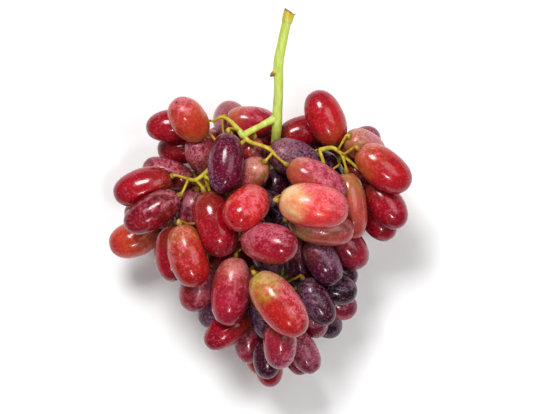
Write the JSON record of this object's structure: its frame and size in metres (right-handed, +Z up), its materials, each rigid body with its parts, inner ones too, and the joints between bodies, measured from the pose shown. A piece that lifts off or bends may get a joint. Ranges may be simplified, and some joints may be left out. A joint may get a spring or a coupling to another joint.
{
  "type": "bunch of grapes",
  "caption": "Bunch of long red and dark table grapes on its green stalk, lying on its back, for a fruit bowl, a stall or a table",
  "frame": {"origin": "middle of the underside of the whole bunch, on the surface it lies on", "axes": "+Y from the tail of the bunch towards the cut end of its stalk; +Z up, away from the surface; +X to the right when looked down on"},
  "size_m": [0.1372, 0.1714, 0.095],
  "materials": {
    "red_skin": "satin grape skin with a thin waxy bloom",
    "dark_skin": "satin dark grape skin with a mottled waxy bloom",
    "stem": "matt fresh green stalk"
  },
  "bodies": {
    "root": {"stem": "stem", "red_berries_left_top": "red_skin", "red_berries_left_arm": "red_skin", "red_berries_left_side": "red_skin", "dark_berry_crown": "dark_skin", "red_berries_crown_left": "red_skin", "red_berries_crown_right": "red_skin", "dark_berries_crown_right": "dark_skin", "dark_berries_heart": "dark_skin", "red_berries_front": "red_skin", "red_berries_front_right": "red_skin", "red_berries_right_arm": "red_skin", "red_berries_lower_left": "red_skin", "dark_berry_left_low": "dark_skin", "red_berries_lower_front": "red_skin", "dark_berry_lower_front": "dark_skin", "dark_berries_lower_right": "dark_skin", "red_berries_right_low": "red_skin", "dark_berry_right_low": "dark_skin", "red_berries_tail": "red_skin", "dark_berry_tail": "dark_skin", "red_berries_under_crown_left": "red_skin", "red_berries_under_crown_right": "red_skin", "red_berries_under_left": "red_skin", "red_berries_under_middle": "red_skin", "red_berries_under_right": "red_skin", "red_berries_under_low_left": "red_skin", "dark_berries_under_low_right": "dark_skin"}
  },
  "joints": []
}
